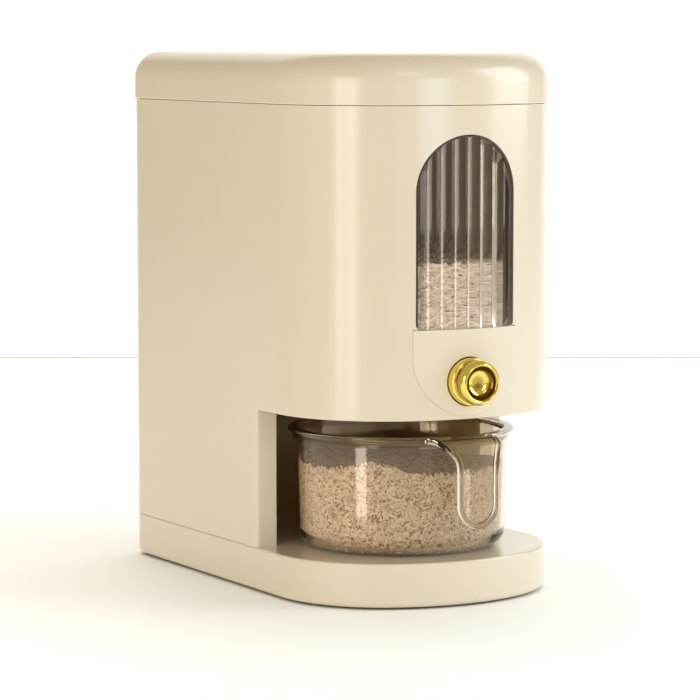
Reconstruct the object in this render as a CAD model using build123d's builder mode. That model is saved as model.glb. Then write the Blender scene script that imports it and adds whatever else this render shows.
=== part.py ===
from build123d import *
import math
import os

os.makedirs("parts", exist_ok=True)

# Rice dispenser with a pull-out measuring bowl. Millimetres, +Z up, front towards -Y.
# The origin is on the standing plane, midway between the knob's face and the back of the lid.

# ---------------------------------------------------------------- driving dimensions
WIDTH = 150.0            # across the flat sides
DEPTH = 242.0            # nose of the body to the flat back
HEIGHT = 280.0           # standing plane to top of lid
Y_NOSE = -115.0          # foremost line of the body
Y_BACK = Y_NOSE + DEPTH
SHOULDER_Y = -51.0       # the flat sides end here and the rounded front begins
NOSE_R = 95.0            # plan radius of the middle of the front
BACK_R = 15.5            # plan radius of the back corners
# shoulder radius that is tangent to both the flat side and the nose arc
_b = SHOULDER_Y - Y_NOSE
SHOULDER_R = ((WIDTH / 2) ** 2 + _b ** 2 - 2 * _b * NOSE_R) / (WIDTH - 2 * NOSE_R)
NOSE_CY = Y_NOSE + NOSE_R

WALL = 2.6               # moulded wall of the tower
Z_FOOT = 1.0             # underside of the base, feet stand below it
Z_BASE = 23.7            # top of the base, seat of tower and bowl
Z_SOFFIT = 96.0          # lower rim of the upper body
Z_LID = 254.0            # top rim of the tower
LID_GAP = 0.3
LID_PROUD = 0.75         # the lid stands out this much all round
LID_FILLET = 14.5

Y_EAR = -26.0            # front-facing plane beside the bowl bay
BAY_HALF = 63.0          # half width of the bay
Y_BAY = 81.0             # back wall of the bay

WIN_HALF = 28.75         # half width of the arched window
WIN_Z0 = 141.7           # bottom of the window
WIN_ZS = 210.8           # spring line of the arch
WIN_CORNER = 3.0
FLUTES = 8

Z_KNOB = 115.2
KNOB_R = 12.2
KNOB_CLEAR = 0.45
STROKE = 11.0            # push of the knob, equal to the shift of the gate

ESC_HALF = 30.2          # half width of the panel under the window
ESC_ZC = 127.8           # centre of its round lower end
ESC_DEPTH = 1.4

SLOT_X = 25.0            # half width of the outlet slot
SLOT_Y0, SLOT_Y1 = -51.0, -41.0
Z_FUNNEL = 106.0         # where the funnel meets the outlet slot

BOWL_Y = -46.0
BOWL_Z = Z_BASE + 0.3
BOWL_H = 61.6
BOWL_R_TOP = 56.6
BOWL_R_BOTTOM = 54.8
BOWL_RIM_R = 59.2
BOWL_WALL = 2.2

FRONT = Plane.XZ.offset(60)      # drawing plane for shapes cut through the front wall


# ---------------------------------------------------------------- shared outlines
def plan(z, inset=0.0):
    """Outline of the body seen from above: flat back and sides, three tangent arcs in front."""
    hw = WIDTH / 2 - inset
    r2, r1 = SHOULDER_R - inset, NOSE_R - inset
    cx, cy = WIDTH / 2 - SHOULDER_R, SHOULDER_Y
    d = math.hypot(cx, cy - NOSE_CY)
    ux, uy = cx / d, (cy - NOSE_CY) / d
    tx, ty = cx + r2 * ux, cy + r2 * uy
    mid = math.atan2(uy, ux) / 2
    mx, my = cx + r2 * math.cos(mid), cy + r2 * math.sin(mid)
    yb, rb = Y_BACK - inset, max(BACK_R - inset, 0.8)
    k = rb * (1 - math.sqrt(0.5))
    with BuildSketch(Plane.XY.offset(z)) as outline:
        with BuildLine():
            Line((hw, cy), (hw, yb - rb))
            ThreePointArc((hw, yb - rb), (hw - k, yb - k), (hw - rb, yb))
            Line((hw - rb, yb), (-hw + rb, yb))
            ThreePointArc((-hw + rb, yb), (-hw + k, yb - k), (-hw, yb - rb))
            Line((-hw, yb - rb), (-hw, cy))
            ThreePointArc((-hw, cy), (-mx, my), (-tx, ty))
            ThreePointArc((-tx, ty), (0, NOSE_CY - r1), (tx, ty))
            ThreePointArc((tx, ty), (mx, my), (hw, cy))
        make_face()
    return outline.sketch


def arch(grow=0.0, corner=WIN_CORNER):
    """Outline of the window seen from the front: round top, square foot with small corners."""
    h, zb = WIN_HALF + grow, WIN_Z0 - grow
    k = corner * (1 - math.sqrt(0.5))
    with BuildSketch(FRONT) as outline:
        with BuildLine():
            Line((-h + corner, zb), (h - corner, zb))
            ThreePointArc((h - corner, zb), (h - k, zb + k), (h, zb + corner))
            Line((h, zb + corner), (h, WIN_ZS))
            ThreePointArc((h, WIN_ZS), (0, WIN_ZS + h), (-h, WIN_ZS))
            Line((-h, WIN_ZS), (-h, zb + corner))
            ThreePointArc((-h, zb + corner), (-h + k, zb + k), (-h + corner, zb))
        make_face()
    return outline.sketch


def lower_panel(shrink=0.0, top=WIN_Z0):
    """Outline of the panel under the window: straight top, half-round foot."""
    h = ESC_HALF - shrink
    with BuildSketch(FRONT) as outline:
        with BuildLine():
            Line((-h, top), (h, top))
            Line((h, top), (h, ESC_ZC))
            ThreePointArc((h, ESC_ZC), (0, ESC_ZC - h), (-h, ESC_ZC))
            Line((-h, ESC_ZC), (-h, top))
        make_face()
    return outline.sketch


def funnel_space(drop=0.0):
    """Inverted pyramid that the grain fills, from the outlet slot upwards."""
    z0, z1 = Z_FUNNEL - drop, Z_FUNNEL + 100 - drop
    side = 100 / math.tan(math.radians(38))
    front = 100 / math.tan(math.radians(29.6))
    back = 100 / math.tan(math.radians(28))
    with BuildPart() as space:
        with BuildSketch(Plane.XY.offset(z0)):
            with Locations((0, (SLOT_Y0 + SLOT_Y1) / 2)):
                Rectangle(2 * SLOT_X, SLOT_Y1 - SLOT_Y0)
        with BuildSketch(Plane.XY.offset(z1)):
            with Locations((0, (SLOT_Y0 - front + SLOT_Y1 + back) / 2)):
                Rectangle(2 * (SLOT_X + side), SLOT_Y1 + back - SLOT_Y0 + front)
        loft(ruled=True)
    return space.part


# ================================================================ base
TRAY_WALL = 3.4
PLATE_SCREWS = [(-50, -58), (50, -58), (-60, 62), (60, 62)]
TOWER_SCREWS = [(-68.2, -16), (68.2, -16), (-57, 118), (57, 118)]
FEET = [(-48, -74), (48, -74), (-56, 104), (56, 104)]

with BuildPart() as base_tray:
    extrude(plan(Z_FOOT), amount=Z_BASE - Z_FOOT)
    fillet(base_tray.faces().sort_by(Axis.Z)[0].edges(), radius=3.2)
    fillet(base_tray.faces().sort_by(Axis.Z)[-1].edges(), radius=1.1)
    extrude(plan(Z_FOOT, TRAY_WALL), amount=Z_BASE - 2.6 - Z_FOOT, mode=Mode.SUBTRACT)
    # bosses that take the bottom plate's screws
    with BuildSketch(Plane.XY.offset(3.2)):
        with Locations(*PLATE_SCREWS):
            Circle(3.5)
    extrude(amount=Z_BASE - 2.6 - 3.2)
    with BuildSketch(Plane.XY.offset(3.2)):
        with Locations(*PLATE_SCREWS):
            Circle(1.3)
    extrude(amount=12, mode=Mode.SUBTRACT)
    # clearance holes for the screws that go up into the tower
    with BuildSketch(Plane.XY.offset(Z_BASE - 4)):
        with Locations(*TOWER_SCREWS):
            Circle(1.7)
    extrude(amount=6, mode=Mode.SUBTRACT)
    # stiffening ribs under the bowl seat
    with BuildSketch(Plane.XY.offset(12)):
        with Locations((-26, -20), (26, -20)):
            Rectangle(1.6, 110)
        with Locations((0, -46), (0, 10)):
            Rectangle(53.6, 1.6)
    extrude(amount=Z_BASE - 2.6 - 12)
base_tray.part.label = "base_tray"
export_step(base_tray.part, "parts/base_tray.step")

with BuildPart() as base_plate:
    extrude(plan(Z_FOOT, TRAY_WALL + 0.3), amount=2.2)
    with BuildSketch(Plane.XY.offset(Z_FOOT)):
        with Locations(*FEET):
            Circle(7.2)
    extrude(amount=0.8, mode=Mode.SUBTRACT)
    with BuildSketch(Plane.XY.offset(Z_FOOT)):
        with Locations(*PLATE_SCREWS):
            Circle(2.9)
    extrude(amount=1.2, mode=Mode.SUBTRACT)
    with BuildSketch(Plane.XY.offset(Z_FOOT)):
        with Locations(*PLATE_SCREWS):
            Circle(1.45)
    extrude(amount=3, mode=Mode.SUBTRACT)
base_plate.part.label = "base_plate"
export_step(base_plate.part, "parts/base_plate.step")

with BuildPart() as base_feet:
    with BuildSketch(Plane.XY):
        with Locations(*FEET):
            Circle(7.0)
    extrude(amount=1.8)
    fillet(base_feet.edges().group_by(Axis.Z)[0], radius=0.6)
base_feet.part.label = "base_feet"
export_step(base_feet.part, "parts/base_feet.step")

with BuildPart() as base_screws:
    with BuildSketch(Plane.XY.offset(Z_FOOT + 0.15)):
        with Locations(*PLATE_SCREWS):
            Circle(2.7)
    extrude(amount=1.05)
    with BuildSketch(Plane.XY.offset(Z_FOOT + 1.2)):
        with Locations(*PLATE_SCREWS):
            Circle(1.25)
    extrude(amount=9.5)
    # cross recess in each head
    with BuildSketch(Plane.XY.offset(Z_FOOT + 0.15)):
        with Locations(*PLATE_SCREWS):
            Rectangle(2.8, 0.6)
            Rectangle(0.6, 2.8)
    extrude(amount=0.7, mode=Mode.SUBTRACT)
base_screws.part.label = "base_screws"
export_step(base_screws.part, "parts/base_screws.step")

with BuildPart() as tower_screws:
    with BuildSketch(Plane.XY.offset(Z_BASE - 2.6 - 2.0)):
        with Locations(*TOWER_SCREWS):
            Circle(2.6)
    extrude(amount=2.0)
    with BuildSketch(Plane.XY.offset(Z_BASE - 2.6)):
        with Locations(*TOWER_SCREWS):
            Circle(1.5)
    extrude(amount=12)
    with BuildSketch(Plane.XY.offset(Z_BASE - 4.6)):
        with Locations(*TOWER_SCREWS):
            Rectangle(2.8, 0.6)
            Rectangle(0.6, 2.8)
    extrude(amount=0.8, mode=Mode.SUBTRACT)
tower_screws.part.label = "tower_screws"
export_step(tower_screws.part, "parts/tower_screws.step")

# ================================================================ tower
# pocket in the front wall that the panel under the window is let into
with BuildPart() as panel_pocket:
    with BuildSketch(Plane((0, NOSE_CY, Z_SOFFIT + 1.2))):
        Circle(NOSE_R + 3)
        Circle(NOSE_R - ESC_DEPTH, mode=Mode.SUBTRACT)
    extrude(amount=60)
    extrude(lower_panel(top=WIN_Z0 + 0.5), amount=70, mode=Mode.INTERSECT)

WIN_SCREWS = [(-37.4, 158), (37.4, 158), (-37.4, 205), (37.4, 205)]


def radial_plane(x, z, r):
    """Plane square to the front wall where the wall is at that x, at radius r, facing inwards."""
    a = math.asin(x / (NOSE_R - WALL))
    return Plane(
        origin=(r * math.sin(a), NOSE_CY - r * math.cos(a), z),
        x_dir=(0, 0, 1),
        z_dir=(-math.sin(a), math.cos(a), 0),
    )


with BuildPart() as tower_shell:
    extrude(plan(Z_BASE), amount=Z_LID - Z_BASE)
    extrude(plan(Z_BASE - 1, WALL), amount=Z_LID - Z_BASE + 2, mode=Mode.SUBTRACT)
    # the bowl bay: everything in front of the ears and below the soffit is open
    with BuildSketch(Plane.XY.offset(Z_BASE - 1)):
        with Locations((0, Y_EAR - 60)):
            Rectangle(WIDTH + 20, 120)
    extrude(amount=Z_SOFFIT - Z_BASE + 1, mode=Mode.SUBTRACT)
    # ears: front-facing strips beside the bay
    with BuildSketch(Plane.XY.offset(Z_BASE)):
        with Locations(
            ((BAY_HALF + 73.5) / 2, Y_EAR + WALL / 2), (-(BAY_HALF + 73.5) / 2, Y_EAR + WALL / 2)
        ):
            Rectangle(73.5 - BAY_HALF, WALL)
    extrude(amount=Z_SOFFIT - Z_BASE)
    # soft outer corner of each ear
    fillet(
        tower_shell.edges()
        .filter_by(Axis.Z)
        .filter_by(
            lambda e: abs(abs(e.center().X) - WIDTH / 2) < 0.01
            and abs(e.center().Y - Y_EAR) < 0.01
        ),
        radius=2.0,
    )
    # softened lower rim of the front wall
    fillet(
        tower_shell.edges().filter_by(
            lambda e: abs(e.center().Z - Z_SOFFIT) < 0.01
            and e.center().Y < Y_EAR
            and (
                math.hypot(e.center().X, e.center().Y - NOSE_CY) > NOSE_R - 1
                or abs(e.center().X) > WIDTH / 2 - 1
                or (abs(e.center().X) > 45 and math.hypot(abs(e.center().X) - WIDTH / 2 + SHOULDER_R,
                                                          e.center().Y - SHOULDER_Y) > SHOULDER_R - 1)
            )
        ),
        radius=0.9,
    )
    # window and knob openings, and the pocket for the panel between them
    extrude(arch(), amount=70, mode=Mode.SUBTRACT)
    add(panel_pocket.part, mode=Mode.SUBTRACT)
    with BuildSketch(FRONT):
        with Locations((0, Z_KNOB)):
            Circle(KNOB_R + KNOB_CLEAR)
    extrude(amount=70, mode=Mode.SUBTRACT)
    # bosses for the window frame's screws
    for sx, sz in WIN_SCREWS:
        with BuildSketch(radial_plane(sx, sz, NOSE_R - WALL + 0.6)):
            Circle(2.8)
        extrude(amount=3.2)
        with BuildSketch(radial_plane(sx, sz, NOSE_R - WALL + 0.6)):
            Circle(1.05)
        extrude(amount=3.2, mode=Mode.SUBTRACT)
    # screw bosses at the foot of the tower, each tied to the wall by a web
    with BuildSketch(Plane.XY.offset(Z_BASE)):
        with Locations(*TOWER_SCREWS):
            Circle(3.1)
        with Locations((-71.2, -16), (71.2, -16)):
            Rectangle(4, 1.8)
        with Locations((-57, 122.5), (57, 122.5)):
            Rectangle(1.8, 5)
    extrude(amount=26)
    with BuildSketch(Plane.XY.offset(Z_BASE)):
        with Locations(*TOWER_SCREWS):
            Circle(1.55)
    extrude(amount=14, mode=Mode.SUBTRACT)
tower_shell.part.label = "tower_shell"
export_step(tower_shell.part, "parts/tower_shell.step")

# three walls of the bay behind the ears
with BuildPart() as bay_liner:
    with BuildSketch(Plane.XY.offset(Z_BASE)):
        with Locations((0, (Y_EAR + WALL + Y_BAY + 2) / 2)):
            RectangleRounded(2 * BAY_HALF + 4, Y_BAY + 2 - Y_EAR - WALL, 5)
        with Locations((0, Y_EAR + WALL + 5)):
            Rectangle(2 * BAY_HALF + 4, 10)
        with Locations((0, (Y_EAR + WALL + Y_BAY) / 2 - 10)):
            RectangleRounded(2 * BAY_HALF, Y_BAY - Y_EAR - WALL + 20, 3, mode=Mode.SUBTRACT)
    extrude(amount=Z_SOFFIT + 0.2 - Z_BASE)
bay_liner.part.label = "bay_liner"
export_step(bay_liner.part, "parts/bay_liner.step")

# panel that closes the upper body from below and carries the outlet, gate track and spring post
Z_PAN = Z_SOFFIT + 0.2
Z_PAN_TOP = Z_PAN + 2.4
FUNNEL_SCREWS = [(-40, -74), (40, -74), (-40, -4), (40, -4)]
SPRING_Z = 108.2
Y_LUG = -99.0
Y_POST = -76.0
with BuildPart() as soffit_panel:
    extrude(plan(Z_PAN, WALL + 0.3), amount=2.4)
    with BuildSketch(Plane.XY.offset(Z_PAN)):
        with Locations((0, Y_BAY + 3.5 + 40)):
            Rectangle(WIDTH, 80)
    extrude(amount=3, mode=Mode.SUBTRACT)
    # spout that hangs down over the bowl
    with BuildSketch(Plane.XY.offset(90)):
        with Locations((0, (SLOT_Y0 + SLOT_Y1) / 2)):
            RectangleRounded(2 * SLOT_X + 6, SLOT_Y1 - SLOT_Y0 + 6, 4)
    extrude(amount=Z_PAN_TOP - 90)
    with BuildSketch(Plane.XY.offset(90)):
        with Locations((0, (SLOT_Y0 + SLOT_Y1) / 2)):
            RectangleRounded(2 * SLOT_X + 2, SLOT_Y1 - SLOT_Y0 + 2, 2)
    extrude(amount=Z_PAN_TOP - 90 + 1, mode=Mode.SUBTRACT)
    # two low runners for the gate
    with BuildSketch(Plane.XY.offset(Z_PAN_TOP)):
        with Locations((-28.2, -61), (28.2, -61)):
            Rectangle(1.6, 72)
    extrude(amount=1.0)
    # post that the return spring pushes against, with a short spigot
    with BuildSketch(Plane.XY.offset(Z_PAN_TOP)):
        with Locations((0, Y_POST + 1.5)):
            Rectangle(8, 3)
    extrude(amount=13.8)
    with BuildSketch(Plane.XZ.offset(-Y_POST)):
        with Locations((0, SPRING_Z)):
            Circle(2.3)
    extrude(amount=1.5)
    with BuildSketch(Plane.XY.offset(Z_PAN)):
        with Locations(*FUNNEL_SCREWS):
            Circle(1.7)
    extrude(amount=3, mode=Mode.SUBTRACT)
soffit_panel.part.label = "soffit_panel"
export_step(soffit_panel.part, "parts/soffit_panel.step")

with BuildPart() as soffit_screws:
    with BuildSketch(Plane.XY.offset(Z_PAN - 1.8)):
        with Locations(*FUNNEL_SCREWS):
            Circle(2.8)
    extrude(amount=1.8)
    fillet(soffit_screws.edges().group_by(Axis.Z)[0], radius=0.8)
    with BuildSketch(Plane.XY.offset(Z_PAN)):
        with Locations(*FUNNEL_SCREWS):
            Circle(1.45)
    extrude(amount=13)
    with BuildSketch(Plane.XY.offset(Z_PAN - 1.8)):
        with Locations(*FUNNEL_SCREWS):
            Rectangle(2.8, 0.6)
            Rectangle(0.6, 2.8)
    extrude(amount=0.9, mode=Mode.SUBTRACT)
soffit_screws.part.label = "soffit_screws"
export_step(soffit_screws.part, "parts/soffit_screws.step")

# overhanging rails that keep the gate down and straight
with BuildPart() as gate_rails:
    with BuildSketch(Plane.XY.offset(Z_PAN_TOP)):
        with Locations((-33.4, -61), (33.4, -61)):
            Rectangle(3.2, 74)
    extrude(amount=5.0)
    with BuildSketch(Plane.XY.offset(Z_PAN_TOP + 4.0)):
        with Locations((-32.0, -61), (32.0, -61)):
            Rectangle(6.0, 74)
    extrude(amount=1.0)
gate_rails.part.label = "gate_rails"
export_step(gate_rails.part, "parts/gate_rails.step")

# sloping floor of the grain store
with BuildPart() as window_room:
    with BuildSketch(Plane((0, NOSE_CY, 120))):
        Circle(NOSE_R)
        Circle(NOSE_R - 7.6, mode=Mode.SUBTRACT)
    extrude(amount=100)
    with BuildSketch(FRONT):
        with Locations((0, 170)):
            Rectangle(82, 100)
    extrude(amount=70, mode=Mode.INTERSECT)

with BuildPart() as hopper_floor:
    extrude(plan(103.6, WALL + 0.3), amount=100)
    add(funnel_space(drop=3.2), mode=Mode.INTERSECT)
    with BuildSketch(Plane.XY.offset(103.6)):
        with Locations((0, (SLOT_Y0 + SLOT_Y1) / 2)):
            Rectangle(2 * SLOT_X + 4, SLOT_Y1 - SLOT_Y0 + 4)
    extrude(amount=5)
    with BuildSketch(Plane.XY.offset(Z_PAN_TOP)):
        with Locations(*FUNNEL_SCREWS):
            Circle(4.0)
    extrude(amount=30)
    add(funnel_space(), mode=Mode.SUBTRACT)
    with BuildSketch(Plane.XY.offset(100)):
        with Locations((0, (SLOT_Y0 + SLOT_Y1) / 2)):
            Rectangle(2 * SLOT_X, SLOT_Y1 - SLOT_Y0)
    extrude(amount=10, mode=Mode.SUBTRACT)
    with BuildSketch(Plane.XY.offset(Z_PAN_TOP)):
        with Locations(*FUNNEL_SCREWS):
            Circle(1.5)
    extrude(amount=12.5, mode=Mode.SUBTRACT)
    add(window_room.part, mode=Mode.SUBTRACT)
hopper_floor.part.label = "hopper_floor"
export_step(hopper_floor.part, "parts/hopper_floor.step")

# soft lip between the funnel and the gate
with BuildPart() as gate_seal:
    with BuildSketch(Plane.XY.offset(102.5)):
        with Locations((0, (SLOT_Y0 + SLOT_Y1) / 2)):
            Rectangle(2 * SLOT_X + 4, SLOT_Y1 - SLOT_Y0 + 4)
            Rectangle(2 * SLOT_X + 0.6, SLOT_Y1 - SLOT_Y0 + 0.6, mode=Mode.SUBTRACT)
    extrude(amount=1.1)
gate_seal.part.label = "gate_seal"
export_step(gate_seal.part, "parts/gate_seal.step")

# ================================================================ window
# fluted pane: a row of upright convex ribs on the outside, and a flange behind the wall
R_IN = NOSE_R - WALL - 1.0
with BuildPart() as window_pane:
    half_a = math.asin((WIN_HALF + 1.5) / (NOSE_R - 2.2))
    with BuildSketch(Plane((0, NOSE_CY, WIN_Z0 - 2))):
        with BuildLine():
            pts = []
            for i in range(FLUTES + 1):
                a = -half_a + 2 * half_a * i / FLUTES
                pts.append(((NOSE_R - 2.2) * math.sin(a), -(NOSE_R - 2.2) * math.cos(a)))
            for i in range(FLUTES):
                a = -half_a + 2 * half_a * (i + 0.5) / FLUTES
                ThreePointArc(
                    pts[i], ((NOSE_R - 0.3) * math.sin(a), -(NOSE_R - 0.3) * math.cos(a)), pts[i + 1]
                )
            ri = R_IN - 0.2
            e0 = (ri * math.sin(-half_a), -ri * math.cos(half_a))
            e1 = (ri * math.sin(half_a), -ri * math.cos(half_a))
            Line(pts[FLUTES], e1)
            ThreePointArc(e1, (0, -ri), e0)
            Line(e0, pts[0])
        make_face()
    extrude(amount=110)
    extrude(arch(grow=-0.25), amount=70, mode=Mode.INTERSECT)
    with BuildPart(mode=Mode.PRIVATE) as flange:
        with BuildSketch(Plane((0, NOSE_CY, WIN_Z0 - 8))):
            Circle(R_IN)
            Circle(R_IN - 1.6, mode=Mode.SUBTRACT)
        extrude(amount=120)
        extrude(arch(grow=4, corner=5), amount=70, mode=Mode.INTERSECT)
    add(flange.part)
window_pane.part.label = "window_pane"
export_step(window_pane.part, "parts/window_pane.step")

with BuildPart() as window_gasket:
    with BuildSketch(Plane((0, NOSE_CY, WIN_Z0 - 8))):
        Circle(NOSE_R - WALL)
        Circle(R_IN, mode=Mode.SUBTRACT)
    extrude(amount=120)
    extrude(arch(grow=4, corner=5), amount=70, mode=Mode.INTERSECT)
    extrude(arch(grow=-0.05), amount=70, mode=Mode.SUBTRACT)
window_gasket.part.label = "window_gasket"
export_step(window_gasket.part, "parts/window_gasket.step")

with BuildPart() as window_frame:
    with BuildSketch(Plane((0, NOSE_CY, WIN_Z0 - 12))):
        Circle(R_IN - 1.6)
        Circle(R_IN - 3.6, mode=Mode.SUBTRACT)
    extrude(amount=130)
    extrude(arch(grow=9.8, corner=9), amount=70, mode=Mode.INTERSECT)
    extrude(arch(grow=-1.0, corner=4), amount=70, mode=Mode.SUBTRACT)
    # flattened top, clear of the lid's skirt
    with BuildSketch(Plane.XY.offset(245.2)):
        with Locations((0, -100)):
            Rectangle(120, 60)
    extrude(amount=20, mode=Mode.SUBTRACT)
    for sx, sz in WIN_SCREWS:
        with BuildSketch(radial_plane(sx, sz, NOSE_R - 4.0)):
            Circle(1.3)
        extrude(amount=6, mode=Mode.SUBTRACT)
window_frame.part.label = "window_frame"
export_step(window_frame.part, "parts/window_frame.step")

with BuildPart() as window_screws:
    for sx, sz in WIN_SCREWS:
        with BuildSketch(radial_plane(sx, sz, NOSE_R - WALL + 0.2)):
            Circle(1.0)
        extrude(amount=5.0)
        with BuildSketch(radial_plane(sx, sz, R_IN - 3.66)):
            Circle(2.2)
        extrude(amount=1.3)
window_screws.part.label = "window_screws"
export_step(window_screws.part, "parts/window_screws.step")

# ================================================================ push control
with BuildPart() as escutcheon:
    with BuildSketch(Plane((0, NOSE_CY, Z_SOFFIT + 1.2))):
        Circle(NOSE_R + 0.15)
        Circle(NOSE_R - ESC_DEPTH, mode=Mode.SUBTRACT)
    extrude(amount=60)
    extrude(lower_panel(shrink=0.12, top=WIN_Z0 - 0.05), amount=70, mode=Mode.INTERSECT)
    with BuildSketch(FRONT):
        with Locations((0, Z_KNOB)):
            Circle(KNOB_R + KNOB_CLEAR)
    extrude(amount=70, mode=Mode.SUBTRACT)
escutcheon.part.label = "escutcheon"
export_step(escutcheon.part, "parts/escutcheon.step")

# sleeve behind the wall that the knob runs in
with BuildPart() as knob_guide:
    with BuildSketch(Plane.XZ.offset(104)):
        with Locations((0, Z_KNOB)):
            Circle(15.0)
    extrude(amount=12)
    with BuildSketch(Plane.XZ.offset(109.5)):
        with Locations((0, Z_KNOB)):
            Circle(16.2)
    extrude(amount=6)
    with BuildSketch(Plane.XZ.offset(100)):
        with Locations((0, Z_KNOB)):
            Circle(KNOB_R + KNOB_CLEAR)
    extrude(amount=20, mode=Mode.SUBTRACT)
    with BuildSketch(Plane((0, NOSE_CY, 90))):
        Circle(NOSE_R - WALL)
    extrude(amount=60, mode=Mode.INTERSECT)
knob_guide.part.label = "knob_guide"
export_step(knob_guide.part, "parts/knob_guide.step")

# two-step knob with a dished face, turned about the push axis
with BuildPart() as knob:
    with BuildSketch(Plane.YZ):
        with BuildLine():
            # (y, z): rear rim, outside, dish, socket
            z = Z_KNOB
            Line((-107, z + 10.4), (-107, z + KNOB_R))
            Line((-107, z + KNOB_R), (-118.1, z + KNOB_R))
            ThreePointArc((-118.1, z + KNOB_R), (-119.02, z + KNOB_R - 0.38), (-119.4, z + KNOB_R - 1.3))
            Line((-119.4, z + KNOB_R - 1.3), (-119.9, z + 10.2))
            ThreePointArc((-119.9, z + 10.2), (-120.5, z + 9.85), (-121.1, z + 10.2))
            Line((-121.1, z + 10.2), (-121.5, z + 10.7))
            ThreePointArc((-121.5, z + 10.7), (-122.4, z + 11.3), (-123.6, z + 11.4))
            ThreePointArc((-123.6, z + 11.4), (-126.6, z + 10.75), (-127.75, z + 9.5))
            ThreePointArc((-127.75, z + 9.5), (-127.3, z + 8.75), (-126.4, z + 8.2))
            ThreePointArc((-126.4, z + 8.2), (-124.3, z + 6.6), (-123.1, z + 3.6))
            Line((-123.1, z + 3.6), (-122.9, z))
            Line((-122.9, z), (-119.0, z))
            Line((-119.0, z), (-119.0, z + 3.55))
            Line((-119.0, z + 3.55), (-107, z + 3.55))
            Line((-107, z + 3.55), (-107, z + 5.6))
            Line((-107, z + 5.6), (-117.6, z + 5.6))
            Line((-117.6, z + 5.6), (-117.6, z + 10.4))
            Line((-117.6, z + 10.4), (-107, z + 10.4))
        make_face()
    revolve(axis=Axis((0, 0, Z_KNOB), (0, 1, 0)), revolution_arc=360)
knob.part.label = "knob"
export_step(knob.part, "parts/knob.step")

with BuildPart() as push_rod:
    with BuildSketch(Plane.XZ.offset(-(Y_LUG - 3))):
        with Locations((0, Z_KNOB)):
            Circle(4.6)
    extrude(amount=2)
    with BuildSketch(Plane.XZ.offset(-(Y_LUG - 3))):
        with Locations((0, Z_KNOB)):
            Circle(3.5)
    extrude(amount=16.8)
    with BuildSketch(Plane.XZ.offset(-(Y_LUG - 3))):
        with Locations((0, Z_KNOB)):
            Circle(1.55)
    extrude(amount=9, mode=Mode.SUBTRACT)
push_rod.part.label = "push_rod"
export_step(push_rod.part, "parts/push_rod.step")

# sliding gate: plate with a grain window, slot around the spring post, upright lug in front
Z_GATE = Z_PAN_TOP + 1.3
with BuildPart() as gate_plate:
    with BuildSketch(Plane.XY.offset(Z_GATE)):
        with Locations((0, (Y_LUG - 3 - 28) / 2)):
            RectangleRounded(62, -28 - (Y_LUG - 3), 3)
        with Locations((0, SLOT_Y0 - 1 - (SLOT_Y1 - SLOT_Y0) / 2)):
            Rectangle(2 * SLOT_X, SLOT_Y1 - SLOT_Y0, mode=Mode.SUBTRACT)
        with Locations((0, -80)):
            Rectangle(10.6, 17.6, mode=Mode.SUBTRACT)
    extrude(amount=2.3)
    with BuildSketch(Plane.XY.offset(Z_GATE)):
        with Locations((0, Y_LUG - 1.5)):
            Rectangle(16, 3)
    extrude(amount=20.2)
    with BuildSketch(Plane.XZ.offset(-Y_LUG)):
        with Locations((0, SPRING_Z)):
            Circle(2.3)
    extrude(amount=-5)
    with BuildSketch(Plane.XZ.offset(-Y_LUG - 1)):
        with Locations((0, Z_KNOB)):
            Circle(1.7)
    extrude(amount=6, mode=Mode.SUBTRACT)
gate_plate.part.label = "gate_plate"
export_step(gate_plate.part, "parts/gate_plate.step")

with BuildPart() as rod_screw:
    with BuildSketch(Plane.XZ.offset(-Y_LUG)):
        with Locations((0, Z_KNOB)):
            Circle(2.7)
    extrude(amount=-2.2)
    with BuildSketch(Plane.XZ.offset(-Y_LUG)):
        with Locations((0, Z_KNOB)):
            Circle(1.5)
    extrude(amount=11)
    with BuildSketch(Plane.XZ.offset(-Y_LUG - 2.2)):
        with Locations((0, Z_KNOB)):
            Rectangle(2.8, 0.6)
            Rectangle(0.6, 2.8)
    extrude(amount=0.9, mode=Mode.SUBTRACT)
rod_screw.part.label = "rod_screw"
export_step(rod_screw.part, "parts/rod_screw.step")

# return spring between lug and post
SPRING_R, WIRE_R = 3.4, 0.42
with BuildPart() as return_spring:
    with BuildLine() as coil:
        Helix(
            pitch=3.15,
            height=22.05,
            radius=SPRING_R,
            center=(0, Y_LUG + 0.48, SPRING_Z),
            direction=(0, 1, 0),
        )
    with BuildSketch(Plane(origin=coil.line @ 0, z_dir=coil.line % 0)):
        Circle(WIRE_R)
    sweep(is_frenet=True)
return_spring.part.label = "return_spring"
export_step(return_spring.part, "parts/return_spring.step")

# ================================================================ lid
with BuildPart() as lid_cavity:
    extrude(plan(Z_LID + LID_GAP - 2, 1.85), amount=HEIGHT - 2.6 - Z_LID - LID_GAP + 2)
    fillet(lid_cavity.faces().sort_by(Axis.Z)[-1].edges(), radius=12.0)

with BuildPart() as lid_shell:
    extrude(plan(Z_LID + LID_GAP, -LID_PROUD), amount=HEIGHT - Z_LID - LID_GAP)
    fillet(lid_shell.faces().sort_by(Axis.Z)[-1].edges(), radius=LID_FILLET)
    fillet(lid_shell.faces().sort_by(Axis.Z)[0].edges(), radius=0.6)
    add(lid_cavity.part, mode=Mode.SUBTRACT)
lid_shell.part.label = "lid_shell"
export_step(lid_shell.part, "parts/lid_shell.step")

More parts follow.
